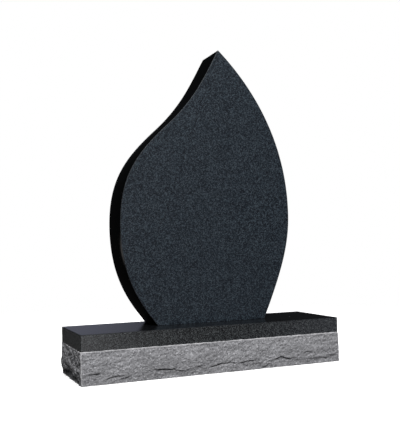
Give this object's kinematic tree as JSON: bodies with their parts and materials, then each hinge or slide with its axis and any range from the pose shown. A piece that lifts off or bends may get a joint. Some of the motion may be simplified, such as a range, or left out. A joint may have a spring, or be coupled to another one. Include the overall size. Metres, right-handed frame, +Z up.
{
  "type": "headstone",
  "caption": "Upright granite headstone: a flame-shaped polished tablet with a pointed, off-centre apex, standing on a long low base with a polished top and margin and rock-pitched sides.",
  "frame": {"origin": "centre of the base's underside, at ground level", "axes": "+Z up, -Y out of the inscription face towards the viewer, +X to the viewer's right"},
  "size_m": [0.912, 0.272, 1.0753],
  "materials": {
    "tablet_granite": "fine-grained black granite, front and back honed, edge polished",
    "base_granite": "the same granite, top and 50 mm margin polished dark, sides rock-pitched to a pale grey split face"
  },
  "bodies": {
    "root": {"tablet": "tablet_granite", "base": "base_granite"}
  },
  "joints": []
}
